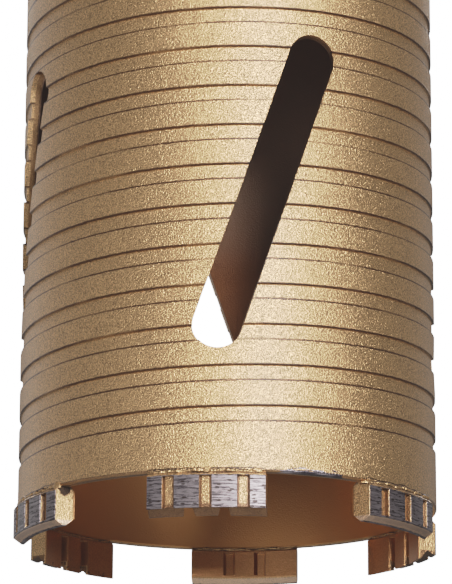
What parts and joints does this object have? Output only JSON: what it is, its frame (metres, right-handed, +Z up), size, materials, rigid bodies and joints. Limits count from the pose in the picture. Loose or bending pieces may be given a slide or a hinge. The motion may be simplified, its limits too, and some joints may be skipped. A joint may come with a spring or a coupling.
{
  "type": "diamond core bit",
  "caption": "Dry diamond core bit: slotted steel barrel with a wound chip groove, segmented diamond crown and threaded drive hub.",
  "frame": {"origin": "on the axis at the level of the segments' lowest edges, where the bit stands", "axes": "+Z up the axis to the hub, -Y through the middle of one of the slots"},
  "size_m": [0.092, 0.092, 0.1946],
  "materials": {
    "barrel_paint": "metallic gold",
    "plate_paint": "metallic gold",
    "hub_steel": "turned",
    "segment_matrix": "ground, with gold paint in the flutes"
  },
  "bodies": {
    "root": {"barrel": "barrel_paint", "back_plate": "plate_paint", "hub": "hub_steel", "roof_segment_1": "segment_matrix", "roof_segment_2": "segment_matrix", "roof_segment_3": "segment_matrix", "valley_segment_1": "segment_matrix", "valley_segment_2": "segment_matrix", "valley_segment_3": "segment_matrix"}
  },
  "joints": []
}
